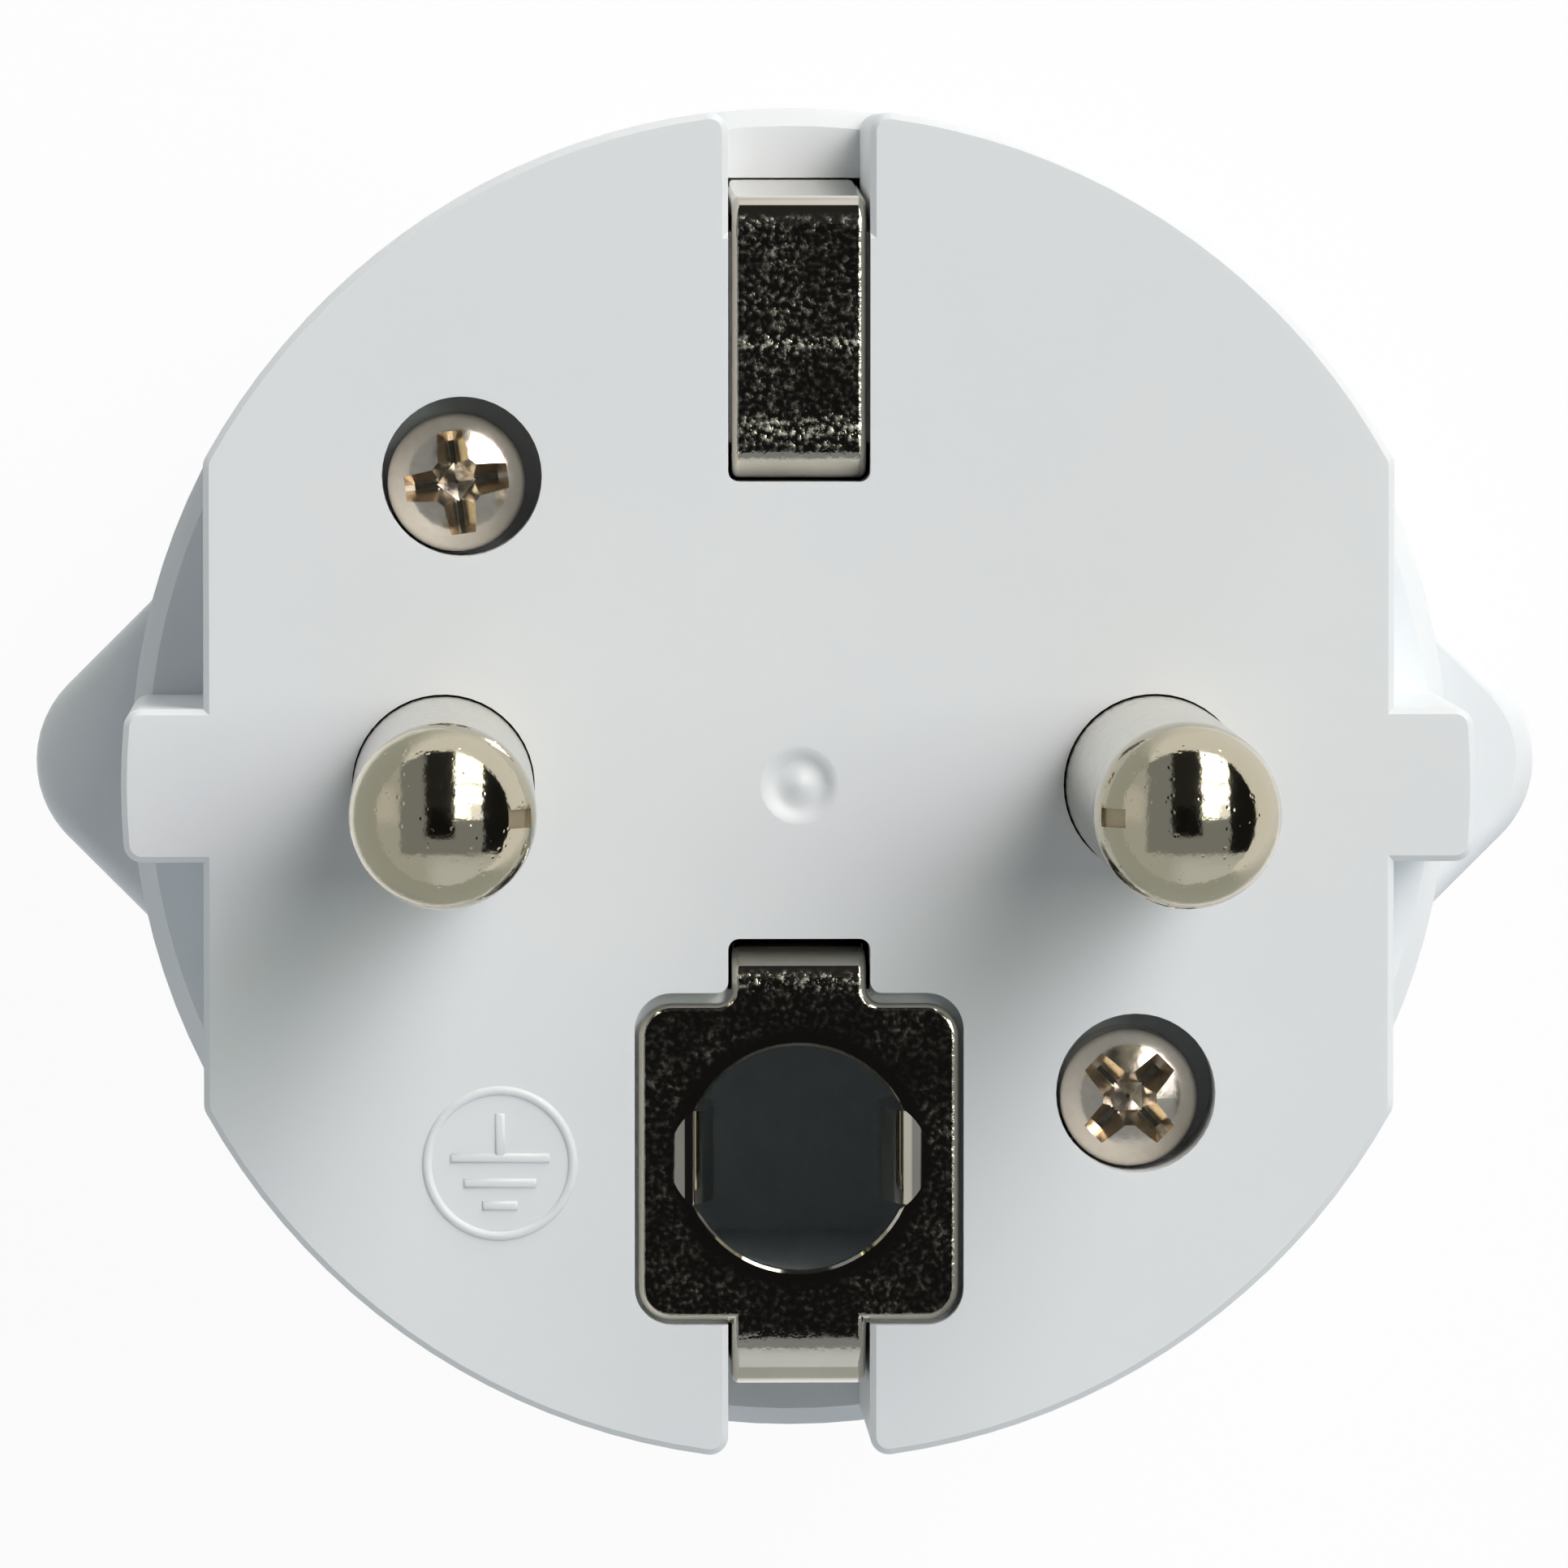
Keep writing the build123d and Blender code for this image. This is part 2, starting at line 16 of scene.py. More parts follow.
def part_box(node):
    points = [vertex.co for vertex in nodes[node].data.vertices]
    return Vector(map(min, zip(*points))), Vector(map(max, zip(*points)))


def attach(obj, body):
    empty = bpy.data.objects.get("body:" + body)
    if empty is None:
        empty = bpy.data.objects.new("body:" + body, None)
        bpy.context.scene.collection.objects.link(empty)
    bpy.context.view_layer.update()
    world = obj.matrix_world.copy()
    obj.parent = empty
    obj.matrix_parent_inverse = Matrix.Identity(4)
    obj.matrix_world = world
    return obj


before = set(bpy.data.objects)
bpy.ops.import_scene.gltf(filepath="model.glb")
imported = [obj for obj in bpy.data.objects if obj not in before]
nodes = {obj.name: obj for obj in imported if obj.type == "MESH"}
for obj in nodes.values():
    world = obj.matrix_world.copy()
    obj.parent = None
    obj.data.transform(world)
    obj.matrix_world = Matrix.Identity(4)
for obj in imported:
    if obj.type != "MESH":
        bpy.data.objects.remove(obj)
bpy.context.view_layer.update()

MM = 0.001
face_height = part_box("front_shell")[1].z
print("nodes:", ", ".join(sorted(nodes)))
print("plug face at", round(face_height / MM, 3), "mm")

# %% [markdown]
# ## Colours and nodes
# Colours are written as sRGB hex values, the way a paint chart or a picture editor shows them.
# Shaders work in linear light, so one function converts them. A second small function adds any
# node, with its settings and its links, so that a material reads as a list of what it is made of.
# A Mix node uses the same socket names for numbers and for colours, so its sockets go by number.

# %% Helpers for shaders
# The Mix node's sockets for colours
COLOUR_A, COLOUR_B, COLOUR_OUT = 6, 7, 2


def linear(hex_colour, strength=1.0):
    """An sRGB hex colour as linear RGBA, optionally brightened."""
    channels = [int(hex_colour[start:start + 2], 16) / 255 for start in (1, 3, 5)]
    straight = [c / 12.92 if c <= 0.04045 else ((c + 0.055) / 1.055) ** 2.4 for c in channels]
    return (*[strength * c for c in straight], 1.0)


def add_node(tree, kind, settings=None, links=None):
    """Adds a node: settings name its properties or sockets, links name sockets and their sources."""
    node = tree.nodes.new(kind)
    for name, value in (settings or {}).items():
        if isinstance(name, str) and hasattr(node, name):
            setattr(node, name, value)
        else:
            node.inputs[name].default_value = value
    for name, source in (links or {}).items():
        tree.links.new(source, node.inputs[name])
    return node


def new_material(name):
    """An empty node material, and its output node."""
    material = bpy.data.materials.new(name)
    material.use_nodes = True
    material.node_tree.nodes.clear()
    return material, add_node(material.node_tree, "ShaderNodeOutputMaterial")


print("white is", linear("#FFFFFF"))

# %% [markdown]
# ## Camera
# The photograph was taken with a long lens from about 37 cm, a little to the left of the face and
# above its middle. That is why the pins lean down and to the right. The camera stands over that
# point and aims at the point that the photograph has in its centre. The lens follows from the
# distance and from how many millimetres of the face fit across the frame.

# %% Camera above the plug face
CAMERA_FOOT = Vector((-9.1, 17.2, 0)) * MM
CAMERA_DISTANCE = 367 * MM
CAMERA_AIM = Vector((-0.41, 0.04, 0)) * MM
CAMERA_NEAR = 10 * MM
FRAME_WIDTH = 41.8 * MM

camera_data = bpy.data.cameras.new("camera")
camera = bpy.data.objects.new("camera", camera_data)
bpy.context.scene.collection.objects.link(camera)
bpy.context.scene.camera = camera
camera.location = CAMERA_FOOT + Vector((0, 0, face_height + CAMERA_DISTANCE))
forward = (CAMERA_AIM + Vector((0, 0, face_height)) - camera.location).normalized()
right = forward.cross(Vector((0, 1, 0))).normalized()
upward = right.cross(forward)
camera.rotation_euler = Matrix((right, upward, -forward)).transposed().to_euler()
camera_data.lens = camera_data.sensor_width * CAMERA_DISTANCE / FRAME_WIDTH
camera_data.clip_start = CAMERA_NEAR
print("lens", round(camera_data.lens, 1), "mm")

# %% [markdown]
# ## Light
# Polished metal shows the room more than itself, so here the room gives all the light. It is drawn
# on the world the way a mirror ball shows it: each direction falls on a flat disc, and a panel is a
# rectangle on that disc. Area lamps would light the plastic just as well, but they would not fill
# the domes with a whole room.

# %% Directions on a mirror ball
# A little over one, so that nothing is divided by zero straight down
BALL_LIFT = 1.0001

world = bpy.data.worlds.new("room")
bpy.context.scene.world = world
world.use_nodes = True
room = world.node_tree
room.nodes.clear()
direction = add_node(room, "ShaderNodeTexCoord")
axes = add_node(room, "ShaderNodeSeparateXYZ", links={"Vector": direction.outputs["Generated"]})
lifted = add_node(room, "ShaderNodeMath", {"operation": "ADD", 1: BALL_LIFT}, {0: axes.outputs["Z"]})
doubled = add_node(room, "ShaderNodeMath", {"operation": "MULTIPLY", 1: 2.0}, {0: lifted.outputs[0]})
spread = add_node(room, "ShaderNodeMath", {"operation": "SQRT"}, {0: doubled.outputs[0]})
ball_x = add_node(
    room, "ShaderNodeMath", {"operation": "DIVIDE"}, {0: axes.outputs["X"], 1: spread.outputs[0]}
)
ball_y = add_node(
    room, "ShaderNodeMath", {"operation": "DIVIDE"}, {0: axes.outputs["Y"], 1: spread.outputs[0]}
)
print("the horizon is a circle of radius", round(math.sqrt(0.5), 3), "on the ball")

# %% [markdown]
# ## Room
# A bright window stands to the right, between two dark curtains. Its inner middle pane is the
# brightest, which keeps the pins' shadows short. The black camera hangs straight above the plug, in
# front of the middle curtain, and it is what the flat metal mirrors. The rest is a pale room that
# fills the shadows, a little brighter in front. Each panel is painted over the ones before it, and
# its four soft edges are multiplied into one cover.

# %% Panels of the room
ROOM_COLOUR = linear("#C6C9C8")
# Each panel: its left, right, bottom and top on the ball, how soft its edges are, and its colour
PANELS = {
    "left wall": (-0.72, -0.50, -0.05, 0.30, 0.08, linear("#DEDDDB")),
    "front": (-0.12, 0.62, -1.00, -0.44, 0.14, linear("#E0E5EA")),
    "ceiling": (-0.45, 0.44, -0.39, 0.68, 0.025, linear("#929698")),
    "middle curtain": (-0.19, 0.12, -0.20, 0.76, 0.025, linear("#2C2C2B")),
    "camera": (-0.15, 0.10, -0.18, 0.12, 0.03, linear("#161616")),
    "right curtain": (0.43, 0.76, -0.38, 0.58, 0.012, linear("#1C1C1C")),
    "top pane": (0.14, 0.42, 0.36, 0.70, 0.012, linear("#FFFEF1", 4.3)),
    "inner middle pane": (0.14, 0.28, 0.14, 0.34, 0.012, linear("#FFF8FB", 9.2)),
    "outer middle pane": (0.28, 0.42, 0.14, 0.34, 0.012, linear("#FFF8FB", 4.2)),
    "inner low pane": (0.14, 0.30, 0.00, 0.14, 0.012, linear("#F6FFED", 4.9)),
    "outer low pane": (0.30, 0.42, 0.00, 0.14, 0.012, linear("#FCFCFF", 1.5)),
    "window bar": (0.14, 0.42, 0.34, 0.36, 0.012, linear("#D8D2C8", 1.6)),
}

painted = None
for left, right_side, bottom, top, blur, colour in PANELS.values():
    cover = None
    for place, low, high in ((ball_x, left, right_side), (ball_y, bottom, top)):
        for edge, inside in ((low, 1), (high, -1)):
            rise = add_node(
                room,
                "ShaderNodeMapRange",
                {
                    "interpolation_type": "SMOOTHSTEP",
                    "From Min": edge - inside * blur,
                    "From Max": edge + inside * blur,
                },
                {"Value": place.outputs[0]},
            )
            if cover is None:
                cover = rise
            else:
                cover = add_node(
                    room,
                    "ShaderNodeMath",
                    {"operation": "MULTIPLY"},
                    {0: cover.outputs[0], 1: rise.outputs[0]},
                )
    layer = add_node(
        room,
        "ShaderNodeMix",
        {"data_type": "RGBA", COLOUR_A: ROOM_COLOUR, COLOUR_B: colour},
        {0: cover.outputs[0]},
    )
    if painted is not None:
        room.links.new(painted.outputs[COLOUR_OUT], layer.inputs[COLOUR_A])
    painted = layer
background = add_node(room, "ShaderNodeBackground", links={"Color": painted.outputs[COLOUR_OUT]})
add_node(room, "ShaderNodeOutputWorld", links={"Surface": background.outputs["Background"]})
bpy.context.scene.view_settings.view_transform = "Standard"
print("room:", ", ".join(PANELS))

# %% [markdown]
# ## Floor
# The adapter stands on its socket's rim on a plain white table, which a single flat disc gives. It
# lies a hair below the rim, so that the two faces don't share one plane.

# %% White table
FLOOR_RADIUS = 3.0
FLOOR_SEGMENTS = 64
FLOOR_DROP = 0.02 * MM

floor_shape = bmesh.new()
bmesh.ops.create_circle(floor_shape, cap_ends=True, segments=FLOOR_SEGMENTS, radius=FLOOR_RADIUS)
bmesh.ops.translate(floor_shape, vec=(0, 0, -FLOOR_DROP), verts=floor_shape.verts)
floor_mesh = bpy.data.meshes.new("floor")
floor_shape.to_mesh(floor_mesh)
floor_shape.free()
floor = bpy.data.objects.new("floor", floor_mesh)
bpy.context.scene.collection.objects.link(floor)
print("table radius", FLOOR_RADIUS, "m")

# %% [markdown]
# ## Table paint, with painted window light and painted shade
# Round the object the table has to look pure white, so there most of the table's own brightness is
# given to the rays that see it directly or in a mirror. The rest is lit like any matt paint, which
# keeps a soft shadow under the adapter. Outside the picture, on all sides but the window's, a pale
# grey is painted on as the room's shade, and toward the window the table is painted white and glowing
# as painted window light. The sides of the domes mirror both. First comes where the table is white.

# %% Where the table is white, near the object and as painted window light
WHITE_REACH = 40 * MM
GREY_REACH = 60 * MM
# Painted window light: toward this side the table stays white and glowing far beyond the picture
WINDOW_SIDE = Vector((0.8, 0.6, 0.0))
GLARE_REACH = 70 * MM

white_table, table_output = new_material("table_paint_with_painted_light")
table = white_table.node_tree
table_place = add_node(table, "ShaderNodeTexCoord")
windowward = add_node(
    table,
    "ShaderNodeVectorMath",
    {"operation": "DOT_PRODUCT", 1: WINDOW_SIDE},
    {0: table_place.outputs["Object"]},
)
# Painted glare: white paint and glow rise toward the window's side
glare_part = add_node(
    table,
    "ShaderNodeMapRange",
    {"interpolation_type": "SMOOTHSTEP", "From Max": GLARE_REACH},
    {"Value": windowward.outputs["Value"]},
)
distance = add_node(
    table, "ShaderNodeVectorMath", {"operation": "LENGTH"}, {0: table_place.outputs["Object"]}
)
near_part = add_node(
    table,
    "ShaderNodeMapRange",
    {"interpolation_type": "SMOOTHSTEP", "From Min": GREY_REACH, "From Max": WHITE_REACH},
    {"Value": distance.outputs["Value"]},
)
# White near the object, and painted window light toward the window
white_and_painted_glare = add_node(
    table,
    "ShaderNodeMath",
    {"operation": "MAXIMUM"},
    {0: glare_part.outputs[0], 1: near_part.outputs[0]},
)
print("white within", round(WHITE_REACH / MM), "mm, grey from", round(GREY_REACH / MM), "mm")

# %% Matt paint with painted shade, and a share of its own brightness
# The grey is painted room shade on the table away from the window, not a second paint colour
TABLE_PAINTED_SHADE = linear("#C7CCCB")
TABLE_WHITE = linear("#F2F3F4")
FLOOR_GLOW = 0.94

# The diffuse colour: white near the object, painted window light toward the window, painted shade
# elsewhere
paint_with_painted_light = add_node(
    table,
    "ShaderNodeMix",
    {"data_type": "RGBA", COLOUR_A: TABLE_PAINTED_SHADE, COLOUR_B: TABLE_WHITE},
    {0: white_and_painted_glare.outputs[0]},
)
glow_part = add_node(
    table, "ShaderNodeMath", {"operation": "MULTIPLY", 1: FLOOR_GLOW}, {0: white_and_painted_glare.outputs[0]}
)
matt = add_node(table, "ShaderNodeBsdfDiffuse", links={"Color": paint_with_painted_light.outputs[COLOUR_OUT]})
glow = add_node(table, "ShaderNodeEmission", {"Color": linear("#FFFFFF")})
ray = add_node(table, "ShaderNodeLightPath")
seen = add_node(
    table,
    "ShaderNodeMath",
    {"operation": "MAXIMUM"},
    {0: ray.outputs["Is Camera Ray"], 1: ray.outputs["Is Glossy Ray"]},
)
seen_through = add_node(
    table,
    "ShaderNodeMath",
    {"operation": "MAXIMUM"},
    {0: seen.outputs[0], 1: ray.outputs["Is Transmission Ray"]},
)
share = add_node(
    table,
    "ShaderNodeMath",
    {"operation": "MULTIPLY"},
    {0: seen_through.outputs[0], 1: glow_part.outputs[0]},
)
blend = add_node(
    table, "ShaderNodeMixShader", links={0: share.outputs[0], 1: matt.outputs[0], 2: glow.outputs[0]}
)
table.links.new(blend.outputs[0], table_output.inputs["Surface"])
floor_mesh.materials.append(white_table)
print("made", white_table.name)

# %% [markdown]
# ## White ABS housing
# Both shells are injection-moulded ABS in a cool white. The tool was spark-eroded, which leaves a
# very fine satin grain, and the colour clouds a little where the melt flowed. A plain white shader
# would look like paper, so the grain is real bump at 0.22 mm, a little coarser than the real one so
# that it shows, and light also travels a short way through the plastic. Patterns are laid out in
# millimetres on the piece itself.

# %% White ABS
def place_on_piece(tree):
    """The texture coordinates of a piece, and its Object coordinates turned into millimetres."""
    place = add_node(tree, "ShaderNodeTexCoord")
    in_mm = add_node(
        tree, "ShaderNodeMapping", {"Scale": (1 / MM,) * 3}, {"Vector": place.outputs["Object"]}
    )
    return place, in_mm


ABS_TINTS = linear("#E6EBF0"), linear("#EDF0F3")
ABS_CLOUD = 6.0
ABS_GRAIN = 0.22
ABS_RELIEF = 0.02
ABS_RELIEF_STRENGTH = 0.12
ABS_ROUGHNESS = 0.36, 0.5
ABS_IOR = 1.5
# How much of the light travels through the plastic, how far in mm, and how that differs by colour
SCATTER_SHARE = 0.12
SCATTER_REACH = 0.4
SCATTER_COLOURS = (1.0, 0.9, 0.8)


def moulded_white_abs():
    """Cool white moulded ABS: satin, slightly see-through at its edges, with a fine eroded grain."""
    material, output = new_material("moulded_white_abs")
    tree = material.node_tree
    _, in_mm = place_on_piece(tree)
    cloud = add_node(
        tree,
        "ShaderNodeTexNoise",
        {"Scale": 1 / ABS_CLOUD, "Detail": 3.0},
        {"Vector": in_mm.outputs[0]},
    )
    tint = add_node(
        tree,
        "ShaderNodeMix",
        {"data_type": "RGBA", COLOUR_A: ABS_TINTS[0], COLOUR_B: ABS_TINTS[1]},
        {0: cloud.outputs["Fac"]},
    )
    grain = add_node(
        tree,
        "ShaderNodeTexNoise",
        {"Scale": 1 / ABS_GRAIN, "Detail": 2.0},
        {"Vector": in_mm.outputs[0]},
    )
    satin = add_node(
        tree,
        "ShaderNodeMapRange",
        {"To Min": ABS_ROUGHNESS[0], "To Max": ABS_ROUGHNESS[1]},
        {"Value": grain.outputs["Fac"]},
    )
    relief = add_node(
        tree,
        "ShaderNodeBump",
        {"Strength": ABS_RELIEF_STRENGTH, "Distance": ABS_RELIEF * MM},
        {"Height": grain.outputs["Fac"]},
    )
    shader = add_node(
        tree,
        "ShaderNodeBsdfPrincipled",
        {
            "IOR": ABS_IOR,
            "Subsurface Weight": SCATTER_SHARE,
            "Subsurface Radius": SCATTER_COLOURS,
            "Subsurface Scale": SCATTER_REACH * MM,
        },
        {
            "Base Color": tint.outputs[COLOUR_OUT],
            "Roughness": satin.outputs[0],
            "Normal": relief.outputs[0],
        },
    )
    tree.links.new(shader.outputs[0], output.inputs["Surface"])
    return material


white_abs = moulded_white_abs()
print("made", white_abs.name)

# %% [markdown]
# ## Polished nickel pins
# The pins are turned from brass and nickel plated, and they are polished almost to a mirror. Nickel
# is a warm grey. Small pits and a faint orange peel break the mirror up. Each dome has a notch that
# was cut after plating, so duller bare metal shows in it. The notch needs no mesh of its own: its
# points are those that lie inside the dome's ball.

# %% Notch of a pin
pin_low, pin_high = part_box("line_pin")
PIN_RADIUS = 2.4 * MM
# A point this far inside the dome's ball belongs to the notch
NOTCH_SKIN = 0.03 * MM
pole_offset = abs((pin_low.x + pin_high.x) / 2)
dome_height = pin_high.z - PIN_RADIUS


def notch_part(tree, place):
    """1 in the notch of either dome and 0 on the plate. Both pins are folded onto one."""
    pin_axes = add_node(tree, "ShaderNodeSeparateXYZ", links={"Vector": place.outputs["Object"]})
    side = add_node(tree, "ShaderNodeMath", {"operation": "ABSOLUTE"}, {0: pin_axes.outputs["X"]})
    folded = add_node(
        tree,
        "ShaderNodeCombineXYZ",
        links={"X": side.outputs[0], "Y": pin_axes.outputs["Y"], "Z": pin_axes.outputs["Z"]},
    )
    reach = add_node(
        tree,
        "ShaderNodeVectorMath",
        {"operation": "DISTANCE", 1: (pole_offset, 0, dome_height)},
        {0: folded.outputs[0]},
    )
    return add_node(
        tree,
        "ShaderNodeMapRange",
        {"From Min": PIN_RADIUS - NOTCH_SKIN, "From Max": PIN_RADIUS - 2 * NOTCH_SKIN},
        {"Value": reach.outputs["Value"]},
    )


print("poles", round(2 * pole_offset / MM, 2), "mm apart, domes at", round(dome_height / MM, 2), "mm")

# %% Polished nickel
NICKEL = linear("#C2BAA4")
NOTCH_METAL = linear("#BCB199")
NICKEL_ROUGHNESS = 0.06, 0.13
NOTCH_ROUGHNESS = 0.5
# Orange peel and pits: their spacing and depth in mm, and how strongly they show
PEEL_SPACING = 0.5
PEEL_DEPTH = 0.025
PEEL_STRENGTH = 0.6
PIT_SPACING = 0.28
PIT_DEPTH = 0.014
PIT_STRENGTH = 0.5
# A pit's radius as a share of the spacing
PIT_SIZE = 0.22
# The Mix node's sockets for numbers
FLOAT_A, FLOAT_B = 2, 3


def polished_nickel():
    """Nickel plate polished to a mirror, with bare metal in the notch of each dome."""
    material, output = new_material("polished_nickel_plate")
    tree = material.node_tree
    place, in_mm = place_on_piece(tree)
    cut = notch_part(tree, place)
    metal = add_node(
        tree,
        "ShaderNodeMix",
        {"data_type": "RGBA", COLOUR_A: NICKEL, COLOUR_B: NOTCH_METAL},
        {0: cut.outputs[0]},
    )
    peel = add_node(
        tree,
        "ShaderNodeTexNoise",
        {"Scale": 1 / PEEL_SPACING, "Detail": 3.0},
        {"Vector": in_mm.outputs[0]},
    )
    pits = add_node(
        tree, "ShaderNodeTexVoronoi", {"Scale": 1 / PIT_SPACING}, {"Vector": in_mm.outputs[0]}
    )
    pit_floor = add_node(
        tree, "ShaderNodeMapRange", {"From Max": PIT_SIZE}, {"Value": pits.outputs["Distance"]}
    )
    wave = add_node(
        tree,
        "ShaderNodeBump",
        {"Strength": PEEL_STRENGTH, "Distance": PEEL_DEPTH * MM},
        {"Height": peel.outputs["Fac"]},
    )
    relief = add_node(
        tree,
        "ShaderNodeBump",
        {"Strength": PIT_STRENGTH, "Distance": PIT_DEPTH * MM},
        {"Height": pit_floor.outputs[0], "Normal": wave.outputs[0]},
    )
    polish = add_node(
        tree,
        "ShaderNodeMapRange",
        {"To Min": NICKEL_ROUGHNESS[0], "To Max": NICKEL_ROUGHNESS[1]},
        {"Value": peel.outputs["Fac"]},
    )
    gloss = add_node(
        tree,
        "ShaderNodeMix",
        {"data_type": "FLOAT", FLOAT_B: NOTCH_ROUGHNESS},
        {0: cut.outputs[0], FLOAT_A: polish.outputs[0]},
    )
    shader = add_node(
        tree,
        "ShaderNodeBsdfPrincipled",
        {"Metallic": 1.0},
        {
            "Base Color": metal.outputs[COLOUR_OUT],
            "Roughness": gloss.outputs[0],
            "Normal": relief.outputs[0],
        },
    )
    tree.links.new(shader.outputs[0], output.inputs["Surface"])
    return material


pin_nickel = polished_nickel()
print("made", pin_nickel.name)

# %% [markdown]
# ## Grainy nickel strap
# The earth strap was stamped and folded before it was plated, and nobody polished it. Its flats
# mirror the black camera, and the grain of the clip throws back single bright sparks, most of all
# where the sheet was stretched beside its bends. There the grain is also duller. The plate round
# the earth hole was pressed flat, so it is smoother, and the die rubbed the bends and the edges
# themselves quite smooth. One even noise can't show all that, so the grain gets a strength that
# changes along the strap. Two functions work it out, and the material uses both.

# %% Where the strap was stretched
# Lines across the strap: their places up the face and their half widths, in mm
STRETCH_LINES = ((9.45, 0.65), (11.8, 0.35), (-5.3, 0.5))
STRETCH_GRAIN = 0.25


def stretched_grain(tree, up_the_face):
    """The grain that the bending added: STRETCH_GRAIN on each line, and nothing away from them."""
    stretch = None
    for line, half_width in STRETCH_LINES:
        away = add_node(tree, "ShaderNodeMath", {"operation": "SUBTRACT", 1: line}, {0: up_the_face})
        gap = add_node(tree, "ShaderNodeMath", {"operation": "ABSOLUTE"}, {0: away.outputs[0]})
        near = add_node(
            tree,
            "ShaderNodeMapRange",
            {
                "interpolation_type": "SMOOTHSTEP",
                "From Min": half_width,
                "From Max": 0.0,
                "To Max": STRETCH_GRAIN,
            },
            {"Value": gap.outputs[0]},
        )
        if stretch is None:
            stretch = near
        else:
            stretch = add_node(
                tree,
                "ShaderNodeMath",
                {"operation": "MAXIMUM"},
                {0: stretch.outputs[0], 1: near.outputs[0]},
            )
    return stretch


print("stretched at", ", ".join(str(line) for line, _ in STRETCH_LINES), "mm")

# %% Where the strap was pressed smooth
# The earth hole with its leaves, which the punch left smooth, in mm
EARTH_HOLE_Y = -10.0
LEAF_REACH = 3.6
LEAF_FADE = 0.3
# How upright the surface is on the bends and edges, and on the flats
BEND_UPRIGHT = 0.85
FLAT_UPRIGHT = 0.95


def unpressed_part(tree, place):
    """The share of the grain that is left: all on the flats, none on bends, edges and leaves."""
    from_hole = add_node(
        tree,
        "ShaderNodeMapping",
        {"Location": (0, -EARTH_HOLE_Y, 0), "Scale": (1 / MM, 1 / MM, 0)},
        {"Vector": place.outputs["Object"]},
    )
    hole_reach = add_node(
        tree, "ShaderNodeVectorMath", {"operation": "LENGTH"}, {0: from_hole.outputs[0]}
    )
    beside_hole = add_node(
        tree,
        "ShaderNodeMapRange",
        {"From Min": LEAF_REACH - LEAF_FADE, "From Max": LEAF_REACH},
        {"Value": hole_reach.outputs["Value"]},
    )
    facing = add_node(tree, "ShaderNodeSeparateXYZ", links={"Vector": place.outputs["Normal"]})
    on_flat = add_node(
        tree,
        "ShaderNodeMapRange",
        {"From Min": BEND_UPRIGHT, "From Max": FLAT_UPRIGHT},
        {"Value": facing.outputs["Z"]},
    )
    return add_node(
        tree,
        "ShaderNodeMath",
        {"operation": "MULTIPLY"},
        {0: on_flat.outputs[0], 1: beside_hole.outputs[0]},
    )


print("smooth within", LEAF_REACH - LEAF_FADE, "mm of the earth hole's axis")

# %% [markdown]
# ## Nickel of the strap
# The grain is bump at about 0.15 mm, and its strength wanders in waves of 1.4 mm. The crests of the
# grain are duller than its hollows, so they spread their light and the hollows stay black.

# %% Grainy nickel
STRAP_TINTS = linear("#C6C0B3"), linear("#D6D0C4")
STRAP_GRAIN = 0.155
STRAP_GRAIN_DEPTH = 0.05
STRAP_WAVE = 1.4
# The part of the noise that the waves use, and the strength of the grain that they give
WAVE_RANGE = 0.3, 0.7
WAVE_GRAIN = 0.18, 0.4
# The plate keeps this share of the grain. It passes into the clip's over this distance in mm
PLATE_GRAIN = 0.7
PLATE_TO_CLIP = 3.0
FLAT_ROUGHNESS = 0.07
CREST_RANGE = 0.42, 0.68
CREST_ROUGHNESS = 0.6


